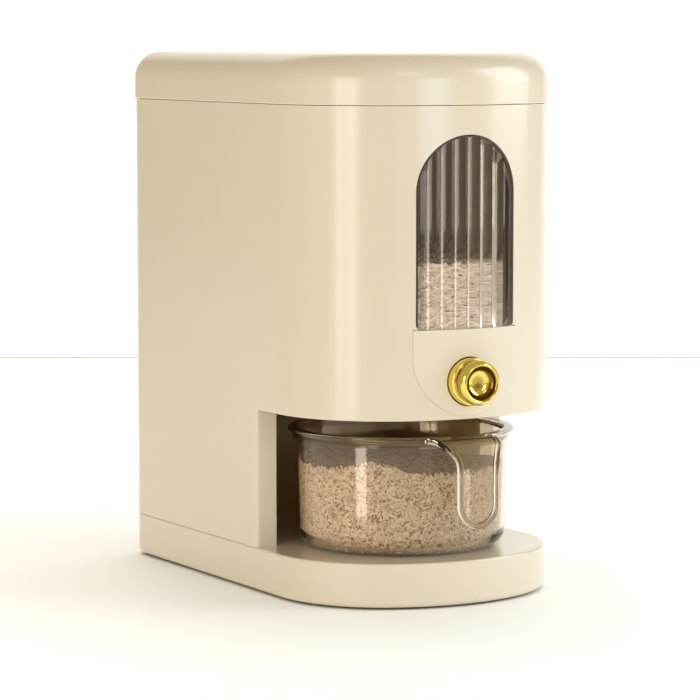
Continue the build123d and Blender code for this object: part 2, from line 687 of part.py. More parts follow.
# tray that closes the lid from below, with a skirt that enters the tower
with BuildPart() as lid_liner:
    extrude(plan(Z_LID + LID_GAP, 1.95), amount=2.0)
    extrude(plan(Z_LID - 8, 4.6), amount=8 + LID_GAP)
    extrude(plan(Z_LID - 9, 6.6), amount=9 + LID_GAP, mode=Mode.SUBTRACT)
    with BuildSketch(Plane.XY.offset(Z_LID + LID_GAP)):
        with Locations((0, 6)):
            RectangleRounded(96, 150, 12)
            RectangleRounded(92, 146, 10, mode=Mode.SUBTRACT)
    extrude(amount=-3)
lid_liner.part.label = "lid_liner"
export_step(lid_liner.part, "parts/lid_liner.step")

with BuildPart() as lid_seal:
    extrude(plan(Z_LID - 6.5, WALL + 0.3), amount=3.2)
    extrude(plan(Z_LID - 7.5, 4.6), amount=6, mode=Mode.SUBTRACT)
lid_seal.part.label = "lid_seal"
export_step(lid_seal.part, "parts/lid_seal.step")

# ================================================================ measuring bowl
BOWL_PLANE = Plane(origin=(0, BOWL_Y, 0), x_dir=(1, 0, 0), z_dir=(0, -1, 0))
Z_RIM = BOWL_Z + BOWL_H
with BuildPart() as bowl_inside:
    with BuildSketch(BOWL_PLANE):
        with BuildLine():
            Line((0, BOWL_Z + 2.4), (BOWL_R_BOTTOM - 9.0, BOWL_Z + 2.4))
            ThreePointArc(
                (BOWL_R_BOTTOM - 9.0, BOWL_Z + 2.4),
                (BOWL_R_BOTTOM - 4.1, BOWL_Z + 4.5),
                (BOWL_R_BOTTOM - 2.0, BOWL_Z + 9.4),
            )
            Line((BOWL_R_BOTTOM - 2.0, BOWL_Z + 9.4), (BOWL_R_TOP - BOWL_WALL, Z_RIM + 1))
            Line((BOWL_R_TOP - BOWL_WALL, Z_RIM + 1), (0, Z_RIM + 1))
            Line((0, Z_RIM + 1), (0, BOWL_Z + 2.4))
        make_face()
    revolve(axis=Axis((0, BOWL_Y, 0), (0, 0, 1)), revolution_arc=360)


# edge of the handle as (x, y, z): along the rim's tangent, over the bend, down the tongue
HANDLE_BEND = 13.0
HANDLE_YC = -111.0
HANDLE_ZC = Z_RIM - 1.2 - HANDLE_BEND
TONGUE_HALF = 10.2
TONGUE_Z = 53.0
BEAD_R = 1.8


def on_bend(x, degrees):
    """Point of the handle's middle surface, degrees down from the top of its bend."""
    a = math.radians(degrees)
    return (x, HANDLE_YC - HANDLE_BEND * math.sin(a), HANDLE_ZC + HANDLE_BEND * math.cos(a))


HANDLE_EDGE = [
    (17.4, -103.5, Z_RIM - 1.2),
    on_bend(17.1, 0),
    on_bend(15.6, 30),
    on_bend(13.2, 48.6),
    on_bend(11.1, 69.3),
    on_bend(10.35, 90),
    (TONGUE_HALF, HANDLE_YC - HANDLE_BEND, HANDLE_ZC - 4.4),
]


def handle_front():
    """Front outline of the handle: wide at the rim, waisted, then a long tongue with a round tip."""
    edge = [(x, z) for x, y, z in HANDLE_EDGE[2:]]
    w, zt = TONGUE_HALF, TONGUE_Z
    x0 = 17.2
    with BuildSketch(Plane.XZ.offset(90)) as outline:
        with BuildLine():
            Line((-x0, Z_RIM + 2), (x0, Z_RIM + 2))
            Line((x0, Z_RIM + 2), (x0, Z_RIM - 1.5))
            Line((x0, Z_RIM - 1.5), edge[0])
            Spline(*edge, tangents=[(-0.62, -0.78), (0, -1)])
            Line(edge[-1], (w, zt))
            ThreePointArc((w, zt), (0, zt - w), (-w, zt))
            Line((-w, zt), (-edge[-1][0], edge[-1][1]))
            Spline(*[(-x, z) for x, z in reversed(edge)], tangents=[(0, 1), (-0.62, 0.78)])
            Line((-edge[0][0], edge[0][1]), (-x0, Z_RIM - 1.5))
            Line((-x0, Z_RIM - 1.5), (-x0, Z_RIM + 2))
        make_face()
    return outline.sketch


def handle_strip(t):
    """Side profile of the handle as a strip of thickness t: out from the rim, over and down."""
    zc, yc, r = HANDLE_ZC, HANDLE_YC, HANDLE_BEND
    with BuildPart() as strip:
        with BuildSketch(Plane.YZ.offset(-22)):
            with BuildLine():
                ro, ri = r + t / 2, r - t / 2
                c = math.sqrt(0.5)
                Line((BOWL_Y - BOWL_R_TOP + 1.0, zc + ro), (yc, zc + ro))
                ThreePointArc((yc, zc + ro), (yc - ro * c, zc + ro * c), (yc - ro, zc))
                Line((yc - ro, zc), (yc - ro, 35))
                Line((yc - ro, 35), (yc - ri, 35))
                Line((yc - ri, 35), (yc - ri, zc))
                ThreePointArc((yc - ri, zc), (yc - ri * c, zc + ri * c), (yc, zc + ri))
                Line((yc, zc + ri), (BOWL_Y - BOWL_R_TOP + 1.0, zc + ri))
                Line((BOWL_Y - BOWL_R_TOP + 1.0, zc + ri), (BOWL_Y - BOWL_R_TOP + 1.0, zc + ro))
            make_face()
        extrude(amount=44)
    return strip.part


with BuildPart() as handle_web:
    add(handle_strip(2.4))
    extrude(handle_front(), amount=60, mode=Mode.INTERSECT)

# round bead along the handle's edge
with BuildPart() as handle_bead:
    with BuildLine() as bead_path:
        y_t, z_t = HANDLE_YC - HANDLE_BEND, TONGUE_Z
        Spline(*HANDLE_EDGE, tangents=[(0, -1, 0), (0, 0, -1)])
        Line(HANDLE_EDGE[-1], (TONGUE_HALF, y_t, z_t))
        ThreePointArc((TONGUE_HALF, y_t, z_t), (0, y_t, z_t - TONGUE_HALF), (-TONGUE_HALF, y_t, z_t))
        Line((-TONGUE_HALF, y_t, z_t), (-HANDLE_EDGE[-1][0], *HANDLE_EDGE[-1][1:]))
        Spline(*[(-x, y, z) for x, y, z in reversed(HANDLE_EDGE)], tangents=[(0, 0, 1), (0, 1, 0)])
    with BuildSketch(Plane(origin=bead_path.line @ 0, z_dir=bead_path.line % 0)):
        Circle(BEAD_R)
    sweep()

with BuildPart() as measuring_bowl:
    with BuildSketch(BOWL_PLANE):
        with BuildLine():
            Line((0, BOWL_Z), (BOWL_R_BOTTOM - 8.0, BOWL_Z))
            ThreePointArc(
                (BOWL_R_BOTTOM - 8.0, BOWL_Z),
                (BOWL_R_BOTTOM - 2.3, BOWL_Z + 2.4),
                (BOWL_R_BOTTOM, BOWL_Z + 8.0),
            )
            Line((BOWL_R_BOTTOM, BOWL_Z + 8.0), (BOWL_R_TOP, Z_RIM - 5.5))
            ThreePointArc(
                (BOWL_R_TOP, Z_RIM - 5.5), (BOWL_R_TOP + 0.7, Z_RIM - 3.3), (BOWL_RIM_R - 0.5, Z_RIM - 1.7)
            )
            ThreePointArc(
                (BOWL_RIM_R - 0.5, Z_RIM - 1.7), (BOWL_RIM_R, Z_RIM - 0.8), (BOWL_RIM_R - 0.7, Z_RIM)
            )
            Line((BOWL_RIM_R - 0.7, Z_RIM), (0, Z_RIM))
            Line((0, Z_RIM), (0, BOWL_Z))
        make_face()
    revolve(axis=Axis((0, BOWL_Y, 0), (0, 0, 1)), revolution_arc=360)
    add(handle_web.part)
    add(handle_bead.part)
    add(bowl_inside.part, mode=Mode.SUBTRACT)
measuring_bowl.part.label = "measuring_bowl"
export_step(measuring_bowl.part, "parts/measuring_bowl.step")
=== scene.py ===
import math

import bpy
import numpy as np
from mathutils import Matrix, Vector


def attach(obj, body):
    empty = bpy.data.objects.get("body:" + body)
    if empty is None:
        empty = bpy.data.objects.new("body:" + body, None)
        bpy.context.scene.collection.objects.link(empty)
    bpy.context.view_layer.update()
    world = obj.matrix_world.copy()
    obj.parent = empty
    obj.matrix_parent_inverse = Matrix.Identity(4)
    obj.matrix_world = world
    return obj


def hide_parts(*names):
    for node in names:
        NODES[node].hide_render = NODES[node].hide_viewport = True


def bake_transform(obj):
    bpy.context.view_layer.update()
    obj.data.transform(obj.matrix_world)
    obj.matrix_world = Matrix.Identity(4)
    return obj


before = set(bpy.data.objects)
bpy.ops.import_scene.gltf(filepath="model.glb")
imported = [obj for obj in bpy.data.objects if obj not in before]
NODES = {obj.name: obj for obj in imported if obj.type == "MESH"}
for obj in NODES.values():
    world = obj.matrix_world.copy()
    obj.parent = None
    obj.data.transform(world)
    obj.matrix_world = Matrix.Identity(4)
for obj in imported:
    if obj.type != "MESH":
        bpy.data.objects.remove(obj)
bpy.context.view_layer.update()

scene = bpy.context.scene
MM = 0.001

# ------------------------------------------------------------------ small helpers


def colour(hex_or_rgb):
    """sRGB 0..255 triple to a linear RGBA."""
    out = []
    for v in hex_or_rgb:
        v = v / 255
        out.append(v / 12.92 if v <= 0.04045 else ((v + 0.055) / 1.055) ** 2.4)
    return (*out, 1.0)


def new_material(name):
    mat = bpy.data.materials.new(name)
    mat.use_nodes = True
    nt = mat.node_tree
    for n in list(nt.nodes):
        nt.nodes.remove(n)
    out = nt.nodes.new("ShaderNodeOutputMaterial")
    p = nt.nodes.new("ShaderNodeBsdfPrincipled")
    nt.links.new(p.outputs[0], out.inputs["Surface"])
    return mat, nt, p, out


def noise(nt, scale, detail=3.0, rough=0.5, vec=None, distortion=0.0):
    n = nt.nodes.new("ShaderNodeTexNoise")
    n.inputs["Scale"].default_value = scale
    n.inputs["Detail"].default_value = detail
    n.inputs["Roughness"].default_value = rough
    n.inputs["Distortion"].default_value = distortion
    if vec is not None:
        nt.links.new(vec, n.inputs["Vector"])
    return n


def coords(nt, scale=(1, 1, 1)):
    tc = nt.nodes.new("ShaderNodeTexCoord")
    mp = nt.nodes.new("ShaderNodeMapping")
    mp.inputs["Scale"].default_value = scale
    nt.links.new(tc.outputs["Object"], mp.inputs["Vector"])
    return mp.outputs["Vector"]


def ramp(nt, fac, stops):
    r = nt.nodes.new("ShaderNodeValToRGB")
    e = r.color_ramp.elements
    e[0].position, e[0].color = stops[0]
    e[1].position, e[1].color = stops[-1]
    for pos, col in stops[1:-1]:
        x = e.new(pos)
        x.color = col
    nt.links.new(fac, r.inputs["Fac"])
    return r.outputs["Color"]


def span(nt, fac, lo, hi, a=0.0, b=1.0):
    m = nt.nodes.new("ShaderNodeMapRange")
    m.inputs["From Min"].default_value = a
    m.inputs["From Max"].default_value = b
    m.inputs["To Min"].default_value = lo
    m.inputs["To Max"].default_value = hi
    nt.links.new(fac, m.inputs["Value"])
    return m.outputs["Result"]


def bump(nt, height, strength, distance, normal=None):
    b = nt.nodes.new("ShaderNodeBump")
    b.inputs["Strength"].default_value = strength
    b.inputs["Distance"].default_value = distance
    nt.links.new(height, b.inputs["Height"])
    if normal is not None:
        nt.links.new(normal, b.inputs["Normal"])
    return b.outputs["Normal"]


def moulded(name, light, dark, rough=(0.28, 0.36), grain=700.0, grain_depth=0.00002, coat=0.0, sss=0.0, coat_rough=0.17, coat_ior=1.5):
    """Injection-moulded plastic: faint cloudiness, satin gloss, a fine skin and slow waviness."""
    mat, nt, p, _ = new_material(name)
    v = coords(nt)
    cloud = noise(nt, 7.0, 3.0, 0.55, v)
    nt.links.new(ramp(nt, cloud.outputs["Fac"], [(0.30, dark), (0.72, light)]), p.inputs["Base Color"])
    smear = noise(nt, 38.0, 4.0, 0.6, v)
    nt.links.new(span(nt, smear.outputs["Fac"], rough[0], rough[1], 0.3, 0.7), p.inputs["Roughness"])
    fine = noise(nt, grain, 2.0, 0.5, v)
    wave = noise(nt, 11.0, 1.0, 0.4, v)
    n1 = bump(nt, wave.outputs["Fac"], 0.10, 0.0006)
    nt.links.new(bump(nt, fine.outputs["Fac"], 0.35, grain_depth, n1), p.inputs["Normal"])
    p.inputs["IOR"].default_value = 1.49
    p.inputs["Coat Weight"].default_value = coat
    p.inputs["Coat Roughness"].default_value = coat_rough
    p.inputs["Coat IOR"].default_value = coat_ior
    p.inputs["Subsurface Weight"].default_value = sss
    p.inputs["Subsurface Radius"].default_value = (1.0, 0.75, 0.45)
    p.inputs["Subsurface Scale"].default_value = 0.002
    return mat


def clear_plastic(name, tint_a, tint_b, rough=0.015, lamp=(0.8, 0.76, 0.72, 1.0), ior=1.56, haze=5.0, clear=1.0, coat=(1.0, 0.02, 1.5)):
    """Transparent smoke-coloured plastic; rays from lamps go through it tinted."""
    mat, nt, p, out = new_material(name)
    v = coords(nt)
    cloud = noise(nt, haze, 2.0, 0.5, v)
    nt.links.new(ramp(nt, cloud.outputs["Fac"], [(0.3, tint_a), (0.7, tint_b)]), p.inputs["Base Color"])
    scuff = noise(nt, 260.0, 5.0, 0.65, v)
    nt.links.new(span(nt, scuff.outputs["Fac"], rough, rough + 0.035, 0.45, 0.85), p.inputs["Roughness"])
    wave = noise(nt, 16.0, 1.0, 0.4, v)
    nt.links.new(bump(nt, wave.outputs["Fac"], 0.12, 0.0005), p.inputs["Normal"])
    p.inputs["IOR"].default_value = ior
    p.inputs["Transmission Weight"].default_value = clear
    p.inputs["Specular Tint"].default_value = (1.0, 0.84, 0.66, 1)
    p.inputs["Coat Weight"].default_value, p.inputs["Coat Roughness"].default_value, p.inputs["Coat IOR"].default_value = coat
    lamp_path = nt.nodes.new("ShaderNodeLightPath")
    through = nt.nodes.new("ShaderNodeBsdfTransparent")
    through.inputs["Color"].default_value = lamp
    mix = nt.nodes.new("ShaderNodeMixShader")
    nt.links.new(lamp_path.outputs["Is Shadow Ray"], mix.inputs["Fac"])
    nt.links.new(p.outputs[0], mix.inputs[1])
    nt.links.new(through.outputs[0], mix.inputs[2])
    nt.links.new(mix.outputs[0], out.inputs["Surface"])
    return mat


def metal(name, light, dark, rough=(0.06, 0.12), streak=(1, 1, 1), depth=0.00001):
    mat, nt, p, _ = new_material(name)
    v = coords(nt, streak)
    cloud = noise(nt, 60.0, 3.0, 0.55, v)
    nt.links.new(ramp(nt, cloud.outputs["Fac"], [(0.3, dark), (0.7, light)]), p.inputs["Base Color"])
    smear = noise(nt, 240.0, 4.0, 0.6, v)
    nt.links.new(span(nt, smear.outputs["Fac"], rough[0], rough[1], 0.3, 0.7), p.inputs["Roughness"])
    nt.links.new(bump(nt, smear.outputs["Fac"], 0.15, depth), p.inputs["Normal"])
    p.inputs["Metallic"].default_value = 1.0
    return mat


# ------------------------------------------------------------------ materials
CREAM = moulded("cream_plastic", colour((229, 216, 195)), colour((226, 212, 190)), coat=0.9, sss=0.06)
PANEL = moulded("panel_plastic", colour((232, 219, 199)), colour((229, 215, 193)), rough=(0.34, 0.40), coat=0.4)
INNER = moulded("inner_plastic", colour((214, 196, 160)), colour((205, 186, 149)), rough=(0.42, 0.52), grain=420.0, grain_depth=0.00005)
# the cream darkened to a tan brown: painted shade for the deep bay round the bowl
BAY_SHADE = moulded("bay_plastic_shade", colour((214, 186, 136)), colour((204, 174, 124)), rough=(0.40, 0.5), grain=420.0, grain_depth=0.00005)
SLIDE = moulded("slide_plastic", colour((228, 226, 218)), colour((220, 217, 207)), rough=(0.38, 0.5))
SEAL = moulded("seal_rubber", colour((226, 221, 208)), colour((214, 208, 194)), rough=(0.55, 0.7), grain=900.0, sss=0.2)
GASKET = moulded("gasket_rubber", colour((70, 58, 48)), colour((56, 45, 37)), rough=(0.5, 0.65), grain=900.0)
FOOT = moulded("foot_rubber", colour((108, 104, 98)), colour((88, 84, 79)), rough=(0.6, 0.75), grain=600.0, grain_depth=0.00008)
PANE = clear_plastic("smoky_window", (0.87, 0.82, 0.80, 1), (0.90, 0.85, 0.83, 1), lamp=(1.0, 0.98, 0.96, 1), coat=(0.6, 0.06, 1.5))
BOWL = clear_plastic("smoky_bowl", (0.86, 0.77, 0.66, 1), (0.90, 0.82, 0.73, 1), lamp=(0.98, 0.95, 0.90, 1), coat=(0.2, 0.02, 1.5))
GOLD = metal("plated_gold", (0.95, 0.76, 0.20, 1), (0.90, 0.69, 0.15, 1), rough=(0.06, 0.10))
STEEL = metal("zinc_steel", (0.62, 0.61, 0.58, 1), (0.50, 0.49, 0.47, 1), rough=(0.24, 0.36), streak=(1, 1, 6))



def paint_knob_shade(mat, axis_z, shade):
    """Painted shade and painted dark reflections, in brown, in the knob's neck, round the wall of its dish, at the
    dish's middle and round its outer rim.
    """
    nt = mat.node_tree
    p = next(n for n in nt.nodes if n.type == "BSDF_PRINCIPLED")
    clean = p.inputs["Base Color"].links[0].from_socket

    def calc(op, a, b=None):
        m = nt.nodes.new("ShaderNodeMath")
        m.operation = op
        for k, v in enumerate((a, b)):
            if v is None:
                continue
            if isinstance(v, (int, float)):
                m.inputs[k].default_value = v
            else:
                nt.links.new(v, m.inputs[k])
        return m.outputs[0]

    def band(x, lo, hi, soft):
        up = span(nt, x, 0.0, 1.0, lo - soft, lo + soft)
        down = span(nt, x, 1.0, 0.0, hi - soft, hi + soft)
        return calc("MULTIPLY", up, down)

    tc = nt.nodes.new("ShaderNodeTexCoord")
    sep = nt.nodes.new("ShaderNodeSeparateXYZ")
    nt.links.new(tc.outputs["Object"], sep.inputs[0])
    dz = calc("SUBTRACT", sep.outputs["Z"], axis_z)
    radius = calc("SQRT", calc("ADD", calc("MULTIPLY", sep.outputs["X"], sep.outputs["X"]), calc("MULTIPLY", dz, dz)))
    front = span(nt, sep.outputs["Y"], 1.0, 0.0, -0.1232, -0.1222)
    wall = calc("MULTIPLY", band(radius, 0.0061, 0.0088, 0.0005), front)
    edge = calc("MULTIPLY", span(nt, radius, 0.0, 0.7, 0.0108, 0.0115), band(sep.outputs["Y"], -0.1250, -0.1214, 0.0006))
    middle = calc("MULTIPLY", span(nt, radius, 0.75, 0.0, 0.0022, 0.0044), front)
    neck = calc("MULTIPLY", band(sep.outputs["Y"], -0.1214, -0.1196, 0.0003), span(nt, radius, 1.0, 0.0, 0.0108, 0.0114))
    # mask of the painted shade: dish wall, dish middle, neck and outer rim
    knob_shade_mask = calc("MINIMUM", calc("ADD", calc("ADD", wall, middle), calc("ADD", neck, edge)), 1.0)
    mix = nt.nodes.new("ShaderNodeMix")
    mix.data_type = "RGBA"
    mix.inputs[7].default_value = shade
    nt.links.new(knob_shade_mask, mix.inputs[0])
    nt.links.new(clean, mix.inputs[6])
    nt.links.new(mix.outputs[2], p.inputs["Base Color"])


# painted shade and dark reflections on the gold knob, set by radius from its axis and by depth
paint_knob_shade(GOLD, 0.1152, (0.20, 0.10, 0.02, 1))

LOOK = {
    "tower_shell": CREAM, "base_tray": CREAM, "lid_shell": CREAM, "escutcheon": PANEL,
    "bay_liner": BAY_SHADE, "soffit_panel": BAY_SHADE, "hopper_floor": INNER, "lid_liner": INNER,
    "base_plate": INNER, "window_frame": INNER, "gate_rails": SLIDE, "gate_plate": SLIDE,
    "knob_guide": SLIDE, "push_rod": SLIDE, "window_pane": PANE, "measuring_bowl": BOWL,
    "window_gasket": GASKET, "gate_seal": SEAL, "lid_seal": SEAL, "base_feet": FOOT,
    "knob": GOLD, "tower_screws": STEEL, "base_screws": STEEL, "soffit_screws": STEEL,
    "window_screws": STEEL, "rod_screw": STEEL, "return_spring": STEEL,
}
for name, mat in LOOK.items():
    ob = NODES[name]
    for slot in ob.material_slots:
        slot.material = mat

# ------------------------------------------------------------------ rice
rng = np.random.default_rng(20741)


def grains_mesh(name, centres, along, normal, length, width, tint):
    """One mesh of many plump grains. along and normal are unit vectors, one pair for each grain."""
    seg = 5
    ring_t = np.array([-0.60, 0.60])
    ring_r = np.sqrt(1 - np.abs(ring_t) ** 2.2)
    verts = [(-1.0, 0.0, 0.0)]
    for t, r in zip(ring_t, ring_r):
        for k in range(seg):
            a = 2 * math.pi * k / seg
            verts.append((t, r * math.cos(a), r * math.sin(a)))
    verts.append((1.0, 0.0, 0.0))
    verts = np.array(verts)
    faces = []
    for k in range(seg):
        k2 = (k + 1) % seg
        faces.append((0, 1 + k2, 1 + k))
        faces.append((1 + k, 1 + k2, 1 + seg + k2, 1 + seg + k))
        faces.append((len(verts) - 1, 1 + seg + k, 1 + seg + k2))
    n = len(centres)
    side = np.cross(normal, along)
    side /= np.linalg.norm(side, axis=1)[:, None]
    up = np.cross(along, side)
    L = length[:, None, None] / 2
    Wd = width[:, None, None] / 2
    P = (
        centres[:, None, :]
        + L * verts[None, :, 0:1] * along[:, None, :]
        + Wd * verts[None, :, 1:2] * side[:, None, :]
        + Wd * 0.86 * verts[None, :, 2:3] * up[:, None, :]
    )
    nv = len(verts)
    loops, starts, totals = [], [], []
    base = np.arange(n) * nv
    flat = np.concatenate([np.array(f) for f in faces])
    sizes = np.array([len(f) for f in faces])
    all_loops = (base[:, None] + flat[None, :]).ravel()
    all_sizes = np.tile(sizes, n)
    all_starts = np.concatenate([[0], np.cumsum(all_sizes)[:-1]])
    me = bpy.data.meshes.new(name)
    me.vertices.add(n * nv)
    me.vertices.foreach_set("co", P.reshape(-1).astype(np.float32))
    me.loops.add(len(all_loops))
    me.loops.foreach_set("vertex_index", all_loops.astype(np.int32))
    me.polygons.add(len(all_sizes))
    me.polygons.foreach_set("loop_start", all_starts.astype(np.int32))
    me.polygons.foreach_set("loop_total", all_sizes.astype(np.int32))
    me.polygons.foreach_set("use_smooth", np.ones(len(all_sizes), dtype=bool))
    me.update(calc_edges=True)
    att = me.attributes.new("tint", "FLOAT", "POINT")
    att.data.foreach_set("value", np.repeat(tint, nv).astype(np.float32))
    me.validate()
    ob = bpy.data.objects.new(name, me)
    scene.collection.objects.link(ob)
    return ob


def rice_material(name, pale, mid, brown, rough=0.42):
    mat, nt, p, _ = new_material(name)
    att = nt.nodes.new("ShaderNodeAttribute")
    att.attribute_name = "tint"
    v = coords(nt)
    n = noise(nt, 420.0, 2.0, 0.5, v)
    add = nt.nodes.new("ShaderNodeMath")
    add.operation = "MULTIPLY_ADD"
    nt.links.new(n.outputs["Fac"], add.inputs[0])
    add.inputs[1].default_value = 0.22
    nt.links.new(att.outputs["Fac"], add.inputs[2])
    nt.links.new(ramp(nt, add.outputs[0], [(0.10, brown), (0.34, mid), (0.95, pale)]), p.inputs["Base Color"])
    nt.links.new(bump(nt, n.outputs["Fac"], 0.2, 0.00006), p.inputs["Normal"])
    p.inputs["Roughness"].default_value = rough
    p.inputs["Subsurface Weight"].default_value = 0.12
    p.inputs["Subsurface Scale"].default_value = 0.0006
    p.inputs["IOR"].default_value = 1.45
    return mat


def shade_core_material(name, deep, mid):
    """A sheet under the grains, coloured in painted shade: the dark gaps between grains, and the heap's top in shadow.
    """
    mat, nt, p, _ = new_material(name)
    v = coords(nt)
    vo = nt.nodes.new("ShaderNodeTexVoronoi")
    vo.inputs["Scale"].default_value = 620.0
    nt.links.new(v, vo.inputs["Vector"])
    nt.links.new(ramp(nt, vo.outputs["Distance"], [(0.1, mid), (0.65, deep)]), p.inputs["Base Color"])
    nt.links.new(bump(nt, vo.outputs["Distance"], 0.6, 0.0006), p.inputs["Normal"])
    p.inputs["Roughness"].default_value = 0.8
    return mat


RICE = rice_material("rice_grain", colour((244, 224, 200)), colour((176, 150, 122)), colour((54, 35, 22)))
# painted shadow on the top of each heap, for the shade it lies in under the soffit and behind the window
RICE_TOP_SHADOW = shade_core_material("rice_top_shadow", colour((78, 56, 38)), colour((104, 78, 54)))
# painted shade seen in the gaps between grains
RICE_GAP_SHADE = shade_core_material("rice_gap_shade", colour((150, 122, 94)), colour((186, 158, 126)))


def unit(a):
    return a / np.maximum(np.linalg.norm(a, axis=1), 1e-9)[:, None]


def lay(centres, normals, tilt=0.22):
    """Random directions lying nearly flat on the surface."""
    r = rng.normal(size=centres.shape)
    flat = unit(r - (r * normals).sum(1)[:, None] * normals)
    return unit(flat + normals * rng.normal(scale=tilt, size=len(centres))[:, None])


def sizes_for(n, length=3.3, width=1.08):
    """Lengths, widths and tints; about one grain in thirteen is a dark speck."""
    tint = 0.30 + rng.beta(2.0, 1.7, n) * 0.6
    dark = rng.random(n) < 0.11
    tint[dark] = rng.random(int(dark.sum())) * 0.12
    length_mm = rng.normal(length, 0.42, n).clip(2.2, 4.6)
    width_mm = rng.normal(width, 0.11, n).clip(0.8, 1.45)
    length_mm[dark] *= 0.55
    width_mm[dark] *= 0.8
    return length_mm * MM, width_mm * MM, tint


def mesh_object(name, verts, faces, smooth=True):
    me = bpy.data.meshes.new(name)
    me.from_pydata([tuple(map(float, v)) for v in verts], [], faces)
    me.polygons.foreach_set("use_smooth", [smooth] * len(me.polygons))
    me.validate()
    me.update()
    ob = bpy.data.objects.new(name, me)
    scene.collection.objects.link(ob)
    return ob


# --- the measure of rice in the bowl
BOWL_C = np.array([0.0, -46.0])
B_IN_R0, B_IN_R1 = 52.2, 54.0     # inside radius near the floor and near the rim
B_Z0, B_ZT = 26.6, 85.6


def bowl_radius(z):
    """Radius of the rice against the inside of the bowl."""
    t = np.clip((z - 33.4) / (B_ZT - 33.4), 0, 1)
    r = 52.8 + (54.4 - 52.8) * t
    d = np.clip(33.4 - z, 0, 7.0)
    r = r - 7.0 * (1 - np.sqrt(np.clip(1 - (d / 7.2) ** 2, 0, 1)))
    return r


EDGE_A = np.radians([-180, -120, -90, -68.6, -43, -30, -15.3, -5, 5, 31.5, 80, 120, 180])
EDGE_Z = np.array([70.0, 69.0, 68.3, 68.0, 67.0, 69.6, 73.4, 70.6, 66.6, 65.4, 66.7, 69.0, 70.0])
FACING = math.atan2(-0.8718, -0.4898)


def bowl_top(x, y):
    """Height of the rice in the bowl: a loose heap with a crest by the front wall."""
    a = np.arctan2(y, x) - FACING
    a = (a + math.pi) % (2 * math.pi) - math.pi
    q = np.clip(np.hypot(x, y) / 54.0, 0, 1)
    edge = np.interp(a, EDGE_A, EDGE_Z)
    mid = 71.5 + 1.4 * np.sin(x / 9.0 + 1.0) * np.cos(y / 11.0)
    w = q**2.5
    return edge * w + mid * (1 - w) + 0.5 * np.sin(x / 3.1) * np.sin(y / 2.7 + 0.4)


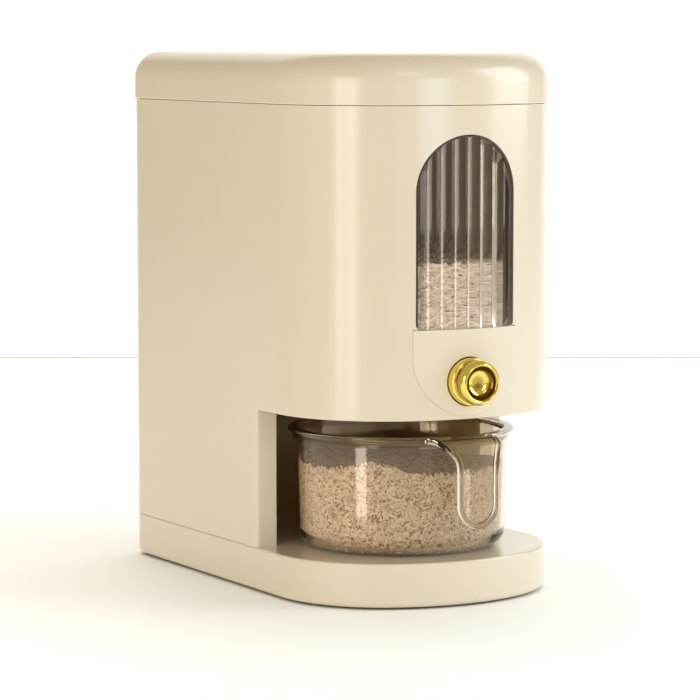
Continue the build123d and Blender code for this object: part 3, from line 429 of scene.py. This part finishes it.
def rice_bowl():
    nr, na = 14, 96
    verts, faces = [], []
    rings = []
    levels = [(0.0, B_Z0), (0.55, B_Z0)]
    zs = [B_Z0, 28.0, 30.0, 33.0, 40.0, 50.0, 60.0]
    # floor centre, floor ring, wall rings, top edge, top rings, top centre
    verts.append((0, 0, B_Z0))
    ring_radii = []
    for z in zs:
        row = []
        for k in range(na):
            a = 2 * math.pi * k / na
            r = float(bowl_radius(np.array(z))) - 0.9
            row.append(len(verts))
            verts.append((r * math.cos(a), r * math.sin(a), z))
        rings.append(row)
    for j in range(nr + 1):
        row = []
        for k in range(na):
            a = 2 * math.pi * k / na
            r = (float(bowl_radius(np.array(66.0))) - 0.9) * (1 - j / (nr + 1))
            x, y = r * math.cos(a), r * math.sin(a)
            row.append(len(verts))
            verts.append((x, y, float(bowl_top(np.array(x), np.array(y))) - 0.8))
        rings.append(row)
    verts.append((0, 0, float(bowl_top(np.array(0.0), np.array(0.0))) - 0.8))
    for k in range(na):
        k2 = (k + 1) % na
        faces.append((0, rings[0][k2], rings[0][k]))
        for a_, b_ in zip(rings[:-1], rings[1:]):
            faces.append((a_[k], a_[k2], b_[k2], b_[k]))
        faces.append((rings[-1][k], rings[-1][k2], len(verts) - 1))
    V = np.array(verts)
    V[:, 0] += BOWL_C[0]
    V[:, 1] += BOWL_C[1]
    core = mesh_object("rice_heap_bowl", V * MM, faces)
    core.data.materials.append(RICE_GAP_SHADE)
    core.data.materials.append(RICE_TOP_SHADOW)
    # faces turned up take the painted shadow of the heap's top, the others the painted gap shade
    for face in core.data.polygons:
        face.material_index = 1 if face.normal.z > 0.3 else 0
    # grains against the wall
    n = 14500
    a = rng.uniform(0, 2 * math.pi, n)
    ca, sa = np.cos(a), np.sin(a)
    top = bowl_top(52.5 * ca, 52.5 * sa)
    z = B_Z0 + 0.9 + (top - B_Z0 - 0.9) * rng.random(n)
    r = bowl_radius(z) - 0.75 - rng.random(n) * 0.4
    c = np.stack([r * ca, r * sa, z], 1)
    slope = np.where(z < 33, (33 - z) / 7.0, 0.0)
    nrm = unit(np.stack([ca, sa, -slope], 1))
    cs, ns = [c], [nrm]
    # grains on top
    n2 = 5200
    q = np.sqrt(rng.random(n2)) * 52.6
    a = rng.uniform(0, 2 * math.pi, n2)
    x, y = q * np.cos(a), q * np.sin(a)
    e = 0.5
    gx = (bowl_top(x + e, y) - bowl_top(x - e, y)) / (2 * e)
    gy = (bowl_top(x, y + e) - bowl_top(x, y - e)) / (2 * e)
    nt_ = unit(np.stack([-gx, -gy, np.ones(n2)], 1))
    cs.append(np.stack([x, y, bowl_top(x, y) - 0.6 + rng.random(n2) * 0.7], 1))
    ns.append(nt_)
    C = np.concatenate(cs)
    N = np.concatenate(ns)
    al = lay(C, N, 0.16)
    ln, wd, tint = sizes_for(len(C))
    # painted shadow: the grains on top are darkened for the shade under the soffit
    tint[n:] *= 0.16
    # keep the grains off the wall they lie against
    half = ln / MM / 2
    tip = np.abs(al[:, 0] * N[:, 0] + al[:, 1] * N[:, 1])
    rr = np.hypot(C[:, 0], C[:, 1])
    curve = half**2 * (1 - al[:, 2] ** 2) / (2 * 54)
    over = np.maximum(rr + tip * half + curve + wd / MM / 2 * 0.9 - (bowl_radius(C[:, 2]) - 0.1), 0)
    C[:, 0] -= over * C[:, 0] / np.maximum(rr, 1)
    C[:, 1] -= over * C[:, 1] / np.maximum(rr, 1)
    C[:, 2] = np.maximum(C[:, 2], B_Z0 + 0.9)
    C[:, 0] += BOWL_C[0]
    C[:, 1] += BOWL_C[1]
    g = grains_mesh("rice_grains_bowl", C * MM, al, N, ln, wd, tint)
    g.data.materials.append(RICE)
    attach(core, "bowl")
    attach(g, "bowl")


# --- the store of rice behind the window
NOSE_CY = -20.0
STORE_Z = 173.4


def store_radius(x):
    return np.where(np.abs(x) < 26.6, 89.4, 87.2)


def store_top(x, y):
    return STORE_Z + 1.4 * np.sin(x / 13.0 + 0.6) * np.cos(y / 17.0) + 0.9 * np.sin(x / 6.3 + y / 8.0) + np.clip((y + 100) / 60, 0, 1) * 3.0


def rice_store():
    # front strip against the pane, down to the foot of the window, and the top surface behind it
    xs = np.concatenate([[-70.5, -64, -56, -46, -38, -33, -28], np.linspace(-26.5, 26.5, 23), [28, 33, 38, 46, 56, 64, 70.5]])

    def front_y(x):
        r = float(store_radius(np.array(x))) - 0.9
        y = NOSE_CY - math.sqrt(max(r * r - x * x, 0))
        # the shoulders curve back faster than the middle of the front
        if abs(x) > 36:
            cx = 13.95
            d = abs(x) - cx
            y = SHOULDER[1] - math.sqrt(max(SHOULDER[0] ** 2 - d * d, 0.0))
        return y

    SHOULDER = (57.4, -51.0)
    verts, faces = [], []
    cols = []
    ys_t = np.linspace(0, 1, 18)
    for x in xs:
        yf = front_y(x)
        col = []
        # underside back to front, up the front, and back over the top
        zf = 141.5 if abs(x) <= 26.6 else 150.0
        yb = 94.0
        pts = [(x, yb, STORE_Z - 4.0), (x, 30.0, 146.0), (x, yf + 12, zf)]
        pts += [(x, yf, z) for z in np.linspace(zf, STORE_Z - 4.5, 8)]
        for t in ys_t:
            y = yf + (yb - yf) * t
            pts.append((x, y, float(store_top(np.array(x), np.array(y))) - 0.8))
        for p_ in pts:
            col.append(len(verts))
            verts.append(p_)
        cols.append(col)
    for a_, b_ in zip(cols[:-1], cols[1:]):
        m = len(a_)
        for k in range(m):
            k2 = (k + 1) % m
            faces.append((a_[k], b_[k], b_[k2], a_[k2]))
    faces.append(tuple(cols[0]))
    faces.append(tuple(reversed(cols[-1])))
    core = mesh_object("rice_heap_store", np.array(verts) * MM, faces, smooth=False)
    core.data.materials.append(RICE_GAP_SHADE)
    core.data.materials.append(RICE_TOP_SHADOW)
    # faces turned up take the painted shadow of the heap's top, the others the painted gap shade
    for face in core.data.polygons:
        face.material_index = 1 if face.normal.z > 0.3 else 0
    C, N = [], []
    n = n_front = 4200
    x = rng.uniform(-26.4, 26.4, n)
    z = rng.uniform(142.4, STORE_Z + 0.5, n)
    r = 89.4 - 0.75 - rng.random(n) * 0.4
    y = NOSE_CY - np.sqrt(r * r - x * x)
    C.append(np.stack([x, y, z], 1))
    N.append(unit(np.stack([x, y - NOSE_CY, np.zeros(n)], 1)))
    n = 3400
    x = rng.uniform(-68, 68, n)
    t = rng.random(n) ** 1.9
    yf = np.array([front_y(v) for v in x])
    y = yf + 0.6 + (92 - yf) * t
    C.append(np.stack([x, y, store_top(x, y) - 0.5 + rng.random(n) * 0.6], 1))
    N.append(np.tile([0.0, 0.0, 1.0], (n, 1)))
    C, N = np.concatenate(C), np.concatenate(N)
    al = lay(C, N, 0.14)
    ln, wd, tint = sizes_for(len(C))
    # painted shade: the grains on the store's top are darkened for the shade they lie in behind the window
    tint[n_front:] *= 0.55
    half = ln / MM / 2
    rr = np.hypot(C[:, 0], C[:, 1] - NOSE_CY)
    out = np.abs(al[:, 0] * C[:, 0] / rr + al[:, 1] * (C[:, 1] - NOSE_CY) / rr) * half + half**2 / 180
    lim = np.where(np.abs(C[:, 0]) < 24.5, 89.5, 87.4)
    over = np.where(C[:, 1] < -60, np.maximum(rr + out + wd / MM / 2 * 0.9 - lim, 0), 0)
    C[:, 0] -= over * C[:, 0] / rr
    C[:, 1] -= over * (C[:, 1] - NOSE_CY) / rr
    g = grains_mesh("rice_grains_store", C * MM, al, N, ln, wd, tint)
    g.data.materials.append(RICE)
    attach(core, "body")
    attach(g, "body")


rice_bowl()
rice_store()


# ------------------------------------------------------------------ dark edge round the arched pane
def pane_edge():
    """A slim moulded edge that follows the window's sides and arch, bent to the front wall."""
    path = []
    h, z0, zs = 28.55, 142.4, 210.8
    for z in np.linspace(z0, zs, 24):
        path.append((-h, z, -1.0, 0.0))
    for k in range(1, 48):
        a = math.pi * (1 - k / 48)
        path.append((h * math.cos(a), zs + h * math.sin(a), math.cos(a), math.sin(a)))
    for z in np.linspace(zs, z0, 24):
        path.append((h, z, 1.0, 0.0))
    # section: (inward distance from the path, depth below the wall's surface)
    sec = [(0.0, 2.4), (0.0, 0.25), (0.12, 0.06), (0.45, 0.0), (0.85, 0.12), (1.05, 0.45), (1.10, 1.1), (1.10, 2.4)]
    verts, faces = [], []
    for x, z, ox, oz in path:
        for w, d in sec:
            xx, zz = x - ox * w, z - oz * w
            r = 94.9 - d
            verts.append((xx, NOSE_CY - math.sqrt(r * r - xx * xx), zz))
    m = len(sec)
    for i in range(len(path) - 1):
        for k in range(m):
            k2 = (k + 1) % m
            faces.append((i * m + k, i * m + k2, (i + 1) * m + k2, (i + 1) * m + k))
    faces.append(tuple(range(m - 1, -1, -1)))
    faces.append(tuple(range((len(path) - 1) * m, len(path) * m)))
    ob = mesh_object("window_edge", np.array(verts) * MM, faces)
    ob.data.materials.append(
        moulded("smoky_edge", colour((74, 60, 56)), colour((56, 45, 42)), rough=(0.12, 0.2), grain=900.0)
    )
    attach(ob, "body")


pane_edge()


def coil_spring(turns=7.0, per_turn=40, ring_n=10):
    """The return spring, from the lug on the gate at its front end to the post at its back end."""
    y0, length, zc, radius, wire = -98.52, 22.05, 108.2, 3.4, 0.42
    n = int(turns * per_turn) + 1
    verts, faces = [], []
    for i in range(n):
        a = 2 * math.pi * turns * i / (n - 1)
        out = np.array([math.cos(a), 0.0, math.sin(a)])
        along = np.array([-math.sin(a) * radius, length / (2 * math.pi * turns), math.cos(a) * radius])
        along /= np.linalg.norm(along)
        side = np.cross(along, out)
        centre = out * radius + np.array([0.0, y0 + length * i / (n - 1), zc])
        for k in range(ring_n):
            b = 2 * math.pi * k / ring_n
            verts.append(centre + wire * (math.cos(b) * out + math.sin(b) * side))
    for i in range(n - 1):
        for k in range(ring_n):
            k2 = (k + 1) % ring_n
            faces.append((i * ring_n + k, i * ring_n + k2, (i + 1) * ring_n + k2, (i + 1) * ring_n + k))
    faces.append(tuple(range(ring_n - 1, -1, -1)))
    faces.append(tuple(range((n - 1) * ring_n, n * ring_n)))
    ob = mesh_object("spring_coil", np.array(verts) * MM, faces)
    ob.data.materials.append(STEEL)
    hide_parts("return_spring")
    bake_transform(ob)


coil_spring()

# ------------------------------------------------------------------ floor and backdrop
mat_floor, nt, p, _ = new_material("studio_floor")
v = coords(nt)
nf = noise(nt, 2.0, 2.0, 0.5, v)
nt.links.new(ramp(nt, nf.outputs["Fac"], [(0.3, (0.90, 0.90, 0.895, 1)), (0.7, (0.92, 0.92, 0.915, 1))]), p.inputs["Base Color"])
p.inputs["Roughness"].default_value = 0.6
p.inputs["Specular IOR Level"].default_value = 0.2
YAW, PITCH = 0.5118, -0.0991
# a wide level floor, and behind the object one curved screen, square to the camera
prof = [(1.15, 0.0004)]
for k in range(1, 13):
    a = math.pi / 2 * k / 12
    prof.append((1.15 + 1.2 * math.sin(a), 1.2 - 1.2 * math.cos(a) + 0.0004))
prof.append((2.35, 3.6))
ahead = np.array([math.sin(YAW), math.cos(YAW)])
across = np.array([math.cos(YAW), -math.sin(YAW)])
verts = [(*(ahead * d + across * side * 1.5), z) for (d, z) in prof for side in (-1, 1)]
faces = [(2 * k, 2 * k + 1, 2 * k + 3, 2 * k + 2) for k in range(len(prof) - 1)]
screen = mesh_object("studio_screen", verts, faces)
screen.data.materials.append(mat_floor)
verts = [(-5, -5, 0), (5, -5, 0), (5, 5, 0), (-5, 5, 0)]
faces = [(0, 1, 2, 3)]
floor = mesh_object("studio_floor_plane", verts, faces, smooth=False)
floor.data.materials.append(mat_floor)

# ------------------------------------------------------------------ lights
TARGET = Vector((0, 0, 0.14))


def softbox(name, loc, sx, sy, watts, col=(1, 1, 1), target=TARGET, spread=180.0):
    li = bpy.data.lights.new(name, "AREA")
    li.shape = "RECTANGLE"
    li.size, li.size_y = sx, sy
    li.energy = watts
    li.color = col
    li.spread = math.radians(spread)
    ob = bpy.data.objects.new(name, li)
    ob.location = loc
    ob.rotation_euler = (Vector(target) - Vector(loc)).to_track_quat("-Z", "Y").to_euler()
    ob.visible_camera = False
    scene.collection.objects.link(ob)
    return ob


def ring(azimuth, distance, z):
    """A place at that angle from the front, measured toward the left side."""
    a = math.radians(azimuth)
    return (-distance * math.sin(a), -distance * math.cos(a), z)


def only_on(light, *pieces):
    """A reflector card or wash light that is seen only by these pieces."""
    group = bpy.data.collections.new(light.name + "_lit")
    for ob in pieces:
        group.objects.link(ob)
    light.light_linking.receiver_collection = group


def not_on(light, *pieces):
    """A light that doesn't mirror itself in these clear pieces."""
    only_on(light, *pieces)
    for entry in light.light_linking.receiver_collection.collection_objects:
        entry.light_linking.link_state = "EXCLUDE"


softbox("strip_main", ring(67, 0.80, 0.26), 0.10, 0.52, 0.58, (0.98, 0.96, 0.92))
softbox("strip_wide", ring(56, 0.85, 0.26), 0.16, 0.52, 0.86, (0.98, 0.96, 0.92))
not_on(softbox("front_high", ring(8, 1.6, 1.3), 0.6, 0.6, 1.6, (0.75, 0.88, 1.0)), NODES["window_pane"], NODES["measuring_bowl"])
not_on(softbox("front_low", ring(-6, 1.9, 0.42), 0.6, 0.6, 3.8, (0.60, 0.80, 1.0)), NODES["window_pane"], NODES["measuring_bowl"])
not_on(softbox("right", ring(-60, 1.5, 0.75), 0.9, 1.2, 12.4, (0.84, 0.92, 1.0)), NODES["measuring_bowl"])
only_on(softbox("screen_wash", (*(ahead * 0.9), 2.3), 2.6, 0.5, 32, target=(*(ahead * 2.3), 0.5)), screen, floor)
only_on(softbox("floor_wash", (-0.1, -0.2, 1.6), 1.4, 1.4, 9, (0.92, 0.95, 0.96), target=(-0.1, -0.2, 0.0)), floor, screen)
only_on(softbox("card_bowl", (-0.236, -0.139, 0.031), 0.048, 0.062, 0.036, target=(-0.044, -0.082, 0.031)), NODES["measuring_bowl"])
only_on(softbox("card_handle", (0.125, -0.340, 0.031), 0.002, 0.058, 0.0012, (0.98, 0.95, 1.0), target=(0, -0.124, 0.031)), NODES["measuring_bowl"])
only_on(softbox("card_window", ring(30, 0.50, 0.345), 0.24, 0.36, 0.62, (0.95, 0.90, 1.0), target=(0, -0.11, 0.315)), NODES["window_pane"])
only_on(softbox("card_ribs", ring(72, 0.55, 0.15), 0.80, 0.36, 2.2, (0.97, 0.93, 1.0), target=(0, -0.11, 0.17)), NODES["window_pane"])

world = bpy.data.worlds.new("studio_world")
scene.world = world
world.use_nodes = True
wn = world.node_tree
bg = wn.nodes["Background"] if "Background" in wn.nodes else wn.nodes.new("ShaderNodeBackground")
bg.inputs["Color"].default_value = (1.0, 0.895, 0.65, 1)
bg.inputs["Strength"].default_value = 0.51

# ------------------------------------------------------------------ camera at the photograph's viewing angle
cam_d = bpy.data.cameras.new("camera")
cam = bpy.data.objects.new("camera", cam_d)
scene.collection.objects.link(cam)
fwd = Vector((math.sin(YAW) * math.cos(PITCH), math.cos(YAW) * math.cos(PITCH), math.sin(PITCH)))
cam.location = (-0.8387, -1.4852, 0.2907)
cam.rotation_euler = fwd.to_track_quat("-Z", "Y").to_euler()
cam_d.sensor_fit = "HORIZONTAL"
cam_d.sensor_width = 36.0
cam_d.lens = 3200.0 * 36.0 / 700.0
cam_d.clip_start = 0.05
cam_d.clip_end = 20.0
scene.camera = cam

scene.view_settings.view_transform = "Standard"
scene.view_settings.look = "None"
scene.view_settings.exposure = 0.0
scene.view_settings.gamma = 1.0
